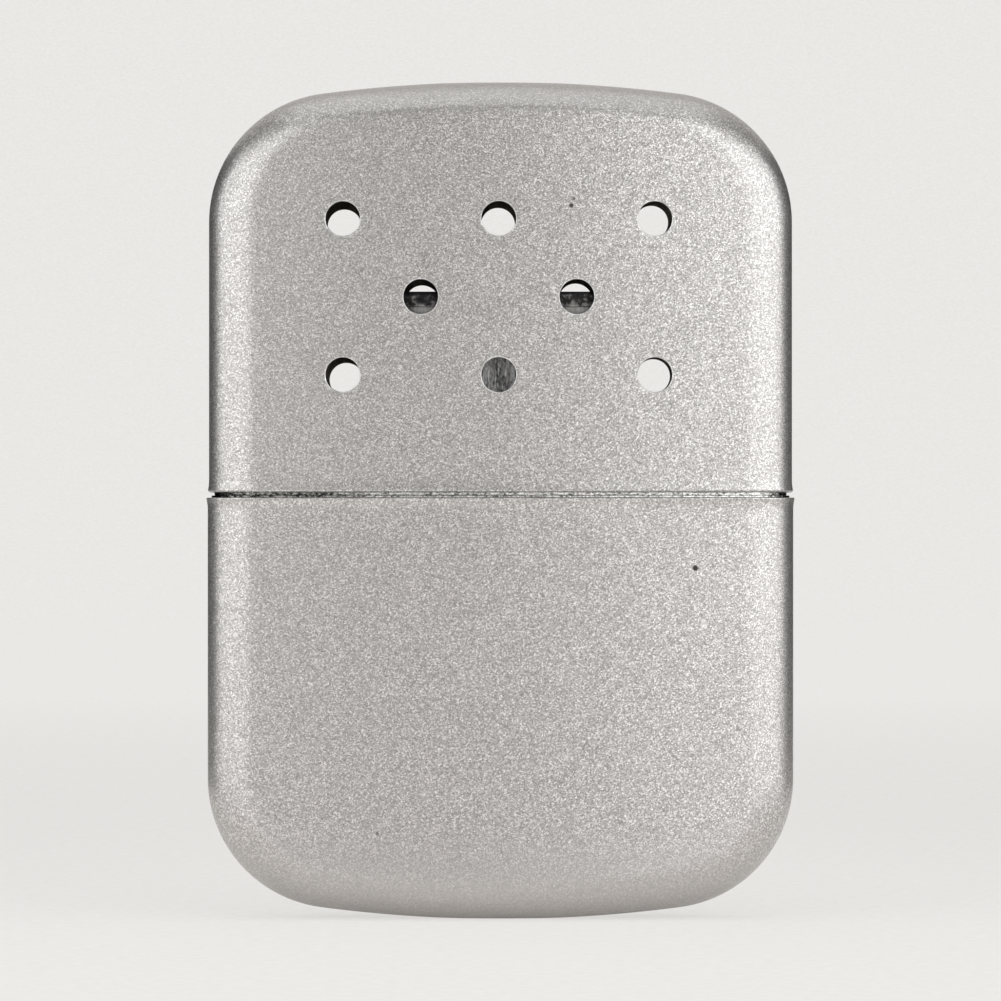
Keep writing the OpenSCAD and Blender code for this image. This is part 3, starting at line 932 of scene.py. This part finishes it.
tank = grown(shell(TANK, LIP_Z, -1, TANK_LIP_ROUND), "painted_tank",
             [PAINT_TANK, SHADED_INSIDE], "tank_shell")
mark_inside(tank, TANK, LIP_Z)
shade(tank, 12)


def band(profile):
    """A strip bent round the case's form: its closed profile is (which form, inset, z)."""
    def point(station, step):
        share, inset, z = station
        low, high = (Vector(ring_point(form, inset, 0, step)) for form in (TANK, LID))
        return (*low.lerp(high, share), z)
    return lofted(eased(profile), RING_STEPS, point, closed=True)


ferrule_top = FLANGE_Z + FERRULE_H
ferrule_back = FERRULE_INSET + FERRULE_WALL
ferrule = grown(band([((1, FERRULE_INSET, ferrule_top), 0.1),
                      ((1, FERRULE_INSET, FLANGE_Z), 0.12),
                      ((1, ferrule_back, FLANGE_Z), 0.12),
                      ((1, ferrule_back, ferrule_top), 0.1)]),
                "nickel_ferrule", [NICKEL], "lid_ferrule")
shade(ferrule, 35)

collar_top = LIP_Z + COLLAR_H
collar_foot = LIP_Z - COLLAR_LEG
strip = band([((1, COLLAR_INSET, collar_top), 0.18),
              ((1, COLLAR_INSET, FLANGE_Z), 0.1),
              ((0, FLANGE_INSET, FLANGE_Z), 0.08),
              ((0, FLANGE_INSET, LIP_Z), 0.08),
              ((0, LEG_INSET, LIP_Z), 0),
              ((0, LEG_INSET, collar_foot), 0.12),
              ((0, LEG_INSET + COLLAR_WALL, collar_foot), 0.12),
              ((0, LEG_INSET + COLLAR_WALL, LIP_Z), 0.05),
              ((1, COLLAR_INSET + COLLAR_WALL, LIP_Z), 0.1),
              ((1, COLLAR_INSET + COLLAR_WALL, collar_top), 0.18)])
bump_z = (FLANGE_Z + collar_top) / 2
bump_y = half_thickness(LID, COLLAR_INSET, BUMP_X, 0) + BUMP_H - BUMP_R
bump_turn = math.acos(1 - BUMP_H / BUMP_R)
dome = [(BUMP_R * math.sin(a), BUMP_R * math.cos(a)) for a in spread(0, bump_turn, 4)]
dome += [(dome[-1][0], BUMP_R - 2 * BUMP_H), (0, BUMP_R - 2 * BUMP_H)]
for bump_x in (-BUMP_X, BUMP_X):
    for side in (-1, 1):
        spun(strip, dome, facing((bump_x / FACE_R, side, 0), (bump_x, side * bump_y, bump_z)),
             steps=24)
collar = grown(closed_up(strip), "nickel_collar", [NICKEL], "collar")
shade(collar, 35)

deck = grown(softened("deck", width=0.12), "soldered_deck", [TINPLATE],
             "deck")
shade(deck, 30)

flange_w = 2 * (half_thickness(LID, DECK_INSET + DECK_T, (NECK[0] - NECK[1]) / 2, 0)
                - FLANGE_PLAY)
flange = (NECK[0] - NECK[1] + flange_w, flange_w)
bore = wider(NECK, -NECK_WALL)
neck = grown(stadium_form(eased([((*NECK, NECK_TOP), 0.25),
                                 ((*NECK, DECK_Z + SOLDER_H), 0.25),
                                 ((*wider(NECK, SOLDER_W), DECK_Z + 0.01), 0.05),
                                 ((*NECK, DECK_Z), 0),
                                 ((*NECK, NECK_FOOT + NECK_FLANGE_T), 0),
                                 ((*flange, NECK_FOOT + NECK_FLANGE_T), 0.1),
                                 ((*flange, NECK_FOOT), 0.1),
                                 ((*bore, NECK_FOOT), 0.1),
                                 ((*bore, NECK_TOP), 0.25)])),
             "filling_neck", [TINPLATE], "filler_neck")
shade(neck, 35)

frame["nodes"]["neck_screen"].material_slots[0].material = SCREEN

# ---------------------------------------------------------------- the fibre in the tank


def pad(node, name, finish, shrink, voxel, smooth, lumps):
    """A stuffed pad in place of a node's solid; lumps are its noise's size, depth, stretch."""
    stuffed = lumpy(swollen(node, shrink, voxel, smooth), *lumps)
    made = grown(kept_inside(stuffed, node), name, [finish], node)
    made.data.shade_smooth()


pad("felt_pad", "felt_disc", FELT, shrink=0.15, voxel=0.4, smooth=2,
    lumps=(2.2, 0.06, (2, 1, 1)))
for layer in ("front", "middle", "back"):
    pad("wadding_" + layer, layer + "_wadding", WADDING, shrink=0.5, voxel=0.8,
        smooth=5, lumps=(2.2, 0.35, (2, 1, 1)))

# ---------------------------------------------------------------- the burner

skirt = grown(stadium_form(eased([((*wider(SKIRT, SKIRT_WALL), DECK_Z), 0.12),
                                  ((*wider(SKIRT, SKIRT_WALL), SKIRT_TOP - SKIRT_WALL),
                                   0.08),
                                  ((*BURNER, SKIRT_TOP - SKIRT_WALL), 0.12),
                                  ((*BURNER, SKIRT_TOP), 0.12),
                                  ((*THROAT, SKIRT_TOP), 0.1),
                                  ((*THROAT, SKIRT_TOP - SKIRT_WALL), 0.1),
                                  ((*SKIRT, SKIRT_TOP - SKIRT_WALL), 0.2),
                                  ((*SKIRT, DECK_Z), 0.12)])),
              "steel_skirt", [STAINLESS], "burner_skirt")
shade(skirt, 35)

case_bore = wider(BURNER, -BURNER_WALL)
tube = stadium_form(eased([((*BURNER, SKIRT_TOP), 0.25),
                           ((*BURNER, CASE_TOP), 0.1),
                           ((*case_bore, CASE_TOP), 0.1),
                           ((*case_bore, LEDGE_Z), 0.2),
                           ((*THROAT, LEDGE_Z), 0.1),
                           ((*THROAT, SKIRT_TOP), 0.1)]))
windows = window_punches(WINDOW[0], depth=2 * BURNER[1], low=WINDOW_FOOT,
                         high=WINDOW_FOOT + WINDOW[1])
tube = cut(tube, rounded_along(windows, 1, WINDOW_CORNER))
case = grown(tube, "burner_tube", [STAINLESS], "burner_case")
shade(case, 30)

cap_bore = wider(BURNER, FIT)
cap_out = wider(cap_bore, CAP_WALL)
lid_plate = stadium_form(eased([((*spine(cap_bore), CAP_TOP - CAP_WALL), 0),
                                ((*cap_bore, CAP_TOP - CAP_WALL), 0.2),
                                ((*cap_bore, CAP_TOP - CAP_H), 0.08),
                                ((*cap_out, CAP_TOP - CAP_H), 0.12),
                                ((*cap_out, CAP_TOP), 0.45),
                                ((*spine(cap_out), CAP_TOP), 0)]), closed=False)
slots = window_punches(*CAP_SLOT, low=CAP_TOP - 3, high=CAP_TOP + 2)
cap = grown(cut(lid_plate, rounded_along(slots, 2, WINDOW_CORNER)), "burner_lid",
            [OXIDE], "burner_cap")
shade(cap, 30)

gauze_size = wider(case_bore, -FIT)
for node, name, z in (("support_gauze", "lower_gauze", SUPPORT_Z),
                      ("top_gauze", "upper_gauze", TOP_GAUZE_Z)):
    wires = grown(woven_gauze(*gauze_size, z), name, [WIRE], node)
    wires.data.shade_smooth()

mat_rows = 20
cloth_in = wider(CLOTH, -CLOTH_T)
inner_rows = spread(CLOTH_TOP - 2, CLOTH_FOOT + 0.4, mat_rows)
outer_rows = spread(CLOTH_FOOT + 0.5, CLOTH_TOP - 1.1, mat_rows)
mat = stadium_form(eased([((*spine(cloth_in), CLOTH_TOP - CLOTH_T), 0),
                          ((*cloth_in, CLOTH_TOP - CLOTH_T), 0.4)]
                         + [((*cloth_in, z), 0) for z in inner_rows]
                         + [((*cloth_in, CLOTH_FOOT), 0.25), ((*CLOTH, CLOTH_FOOT), 0.3)]
                         + [((*CLOTH, z), 0) for z in outer_rows]
                         + [((*CLOTH, CLOTH_TOP), 0.8),
                            ((*wider(CLOTH, -2), CLOTH_TOP), 0),
                            ((*spine(CLOTH), CLOTH_TOP), 0)]), closed=False)
wrap = grown(kept_inside(lumpy(mat, 1.1, 0.3, (1, 1, 5)), "catalyst_cloth"),
             "platinised_mat", [PLATINISED], "catalyst_cloth")
wrap.data.shade_smooth()
fold = wrap.modifiers.new("finer", "SUBSURF")
fold.levels = fold.render_levels = 1

pad("catalyst_core", "glass_wool_core", GLASS_WOOL, shrink=0.25, voxel=0.45,
    smooth=2, lumps=(1.2, 0.2, (3, 1, 1)))

rivets = bmesh.new()
grip = LEDGE_Z - (SKIRT_TOP - SKIRT_WALL)
head = [(RIVET_HEAD_D / 2 * math.sin(a), RIVET_HEAD_H * math.cos(a))
        for a in spread(0, math.pi / 2, 6)]
outline = head + [(RIVET_D / 2, 0), (RIVET_D / 2, -grip)]
outline += [(r, -grip - z) for r, z in reversed(head)]
for x in (-RIVET_X, RIVET_X):
    spun(rivets, outline, Matrix.Translation(Vector((x, 0, LEDGE_Z)) * MM), steps=32)
rivet_pair = grown(closed_up(rivets), "domed_rivets", [ALUMINIUM],
                   "burner_rivets")
shade(rivet_pair, 35)

clips = grown(softened("neck_clips", width=0.05), "bowed_springs",
              [BRONZE], "neck_clips")
shade(clips, 25)

# ---------------------------------------------------------------- studio, in metres

SWEEP_HALF = 3
SWEEP_H = 4
SWEEP_BEND = 1.5
FLAG_X = 0.22
FLAG_SIZE = (0.72, 0.22)
LAMP_DISTANCE = 0.9
LAMP_AIM = (0, 0, 0.05)
CAMERA_Y = -0.7115
SENSOR_MM = 36
LENS_MM = 214


def directly_seen(tree):
    """1 for rays from the camera, straight or through clear material, and 0 for others."""
    ray = add(tree, "ShaderNodeLightPath").outputs
    return sums(tree, "MAXIMUM", ray["Is Camera Ray"], ray["Is Transmission Ray"])


def pale_paper():
    """Matt pale card: a faint tooth, no gloss. In the camera's view it is drawn mostly by an
    even glow, which takes over away from the case, so that the card stays pale all over and
    keeps the shadow. In the metal's reflections it glows a little too, and more on the floor
    behind the case, which lights its back."""
    made, tree = material("pale_card")
    place = object_place(tree)
    tooth = grain(tree, place, 1.5, 3)
    colour = tones(tree, tooth, (0.3, "#eae8e5"), (0.7, "#f1efed"))
    axes = axes_of(tree, place)
    far = between(tree, vectors(tree, "LENGTH", {0: place}, result="Value"), 200, 800)
    shown = directly_seen(tree)
    seen = times(tree, shown, between(tree, far, 0, 1, 0.755, 0.96))
    fill = sums(tree, "MINIMUM", between(tree, axes["Y"], 100, 500, 0.31, 0.62),
                between(tree, axes["Z"], 50, 400, 0.62, 0.4))
    ray = add(tree, "ShaderNodeLightPath").outputs
    mirrored = times(tree, ray["Is Glossy Ray"], fill)
    surface(tree, {"Base Color": mixed(tree, shown, colour,
                                       mixed(tree, far, "#7d7b79", "#181817")),
                   "Roughness": 0.95, "Specular IOR Level": 0.0, "Emission Color": colour,
                   "Emission Strength": sums(tree, "MAXIMUM", seen, mirrored),
                   "Normal": bumped(tree, tooth, 0.03)})
    return made


def black_flag():
    """Black felt on a board: takes light away from the sides of the case."""
    made, tree = material("black_flag")
    nap = grain(tree, object_place(tree), 2, 2)
    surface(tree, {"Base Color": tones(tree, nap, (0.3, "#0c0c0c"), (0.7, "#171615")),
                   "Roughness": 1.0})
    return made


def staged(bm, name, finish):
    """A piece of the studio: part of the picture, not of the object."""
    made = meshed(bm, name, [finish])
    made.data.shade_smooth()
    return made


def sweep():
    """The floor and a backdrop in one sheet of card, with a wide bend between them."""
    bm = bmesh.new()
    bmesh.ops.create_grid(bm, x_segments=1, y_segments=1, size=SWEEP_HALF)
    back = [e for e in bm.edges if all(v.co.y > 0 for v in e.verts)]
    made = bmesh.ops.extrude_edge_only(bm, edges=back)["geom"]
    bmesh.ops.translate(bm, vec=(0, 0, SWEEP_H),
                        verts=[v for v in made if isinstance(v, bmesh.types.BMVert)])
    bmesh.ops.bevel(bm, geom=back, offset=SWEEP_BEND, segments=24, profile=0.5, material=-1,
                    affect="EDGES")
    return staged(bm, "card_sweep", pale_paper())


def softbox(name, azimuth, elevation, width, height, glow):
    """A rectangular lamp that faces the part, placed by its azimuth and elevation in
    degrees; glow is how bright its face looks in a mirror."""
    lamp = bpy.data.lights.new(name, "AREA")
    lamp.shape = "RECTANGLE"
    lamp.size = width
    lamp.size_y = height
    lamp.energy = glow * math.pi * width * height
    lamp.color = srgb("#fafcff")[:3]
    made = placed(name, lamp)
    a, e = math.radians(azimuth), math.radians(elevation)
    toward = Vector((math.sin(a) * math.cos(e), -math.cos(a) * math.cos(e), math.sin(e)))
    made.location = Vector(LAMP_AIM) + LAMP_DISTANCE * toward
    made.rotation_euler = toward.to_track_quat("Z", "Y").to_euler()


sweep()
for name, x, middle_y in (("flag_left", -FLAG_X, 0.392), ("flag_right", FLAG_X, 0.386)):
    card = bmesh.new()
    bmesh.ops.create_grid(card, x_segments=4, y_segments=4, size=0.5)
    size = Matrix.Diagonal((*FLAG_SIZE, 1, 1))
    upright = Matrix.Rotation(math.pi / 2, 4, "X")
    sideways = Matrix.Rotation(math.pi / 2, 4, "Z")
    place = Matrix.Translation((x, middle_y, FLAG_SIZE[1] / 2))
    bmesh.ops.transform(card, matrix=place @ sideways @ upright @ size, verts=card.verts)
    flag = staged(card, name, black_flag())
    flag.visible_camera = False

softbox("right_softbox", azimuth=56, elevation=8, width=1.8, height=1.0, glow=2.08)
softbox("left_softbox", azimuth=-64.5, elevation=8, width=1.7, height=1.0, glow=1.6)
softbox("top_softbox", azimuth=0, elevation=86, width=1.2, height=1.5, glow=0.8)

world = bpy.data.worlds.new("studio")
world.use_nodes = True
world.node_tree.nodes.clear()
strength = between(world.node_tree, directly_seen(world.node_tree), 0, 1, 0.395, 0.87)
sky = add(world.node_tree, "ShaderNodeBackground",
          {"Color": srgb("#f8f6f4"), "Strength": strength})
add(world.node_tree, "ShaderNodeOutputWorld", {"Surface": sky.outputs["Background"]})
bpy.context.scene.world = world

camera = bpy.data.cameras.new("camera")
camera.sensor_width = SENSOR_MM
camera.lens = LENS_MM
eye = placed("camera", camera)
eye.location = (0.0, CAMERA_Y, TOP_Z / 2 * MM)
eye.rotation_euler = (math.pi / 2, 0, 0)
bpy.context.scene.camera = eye
bpy.context.scene.view_settings.view_transform = "Standard"
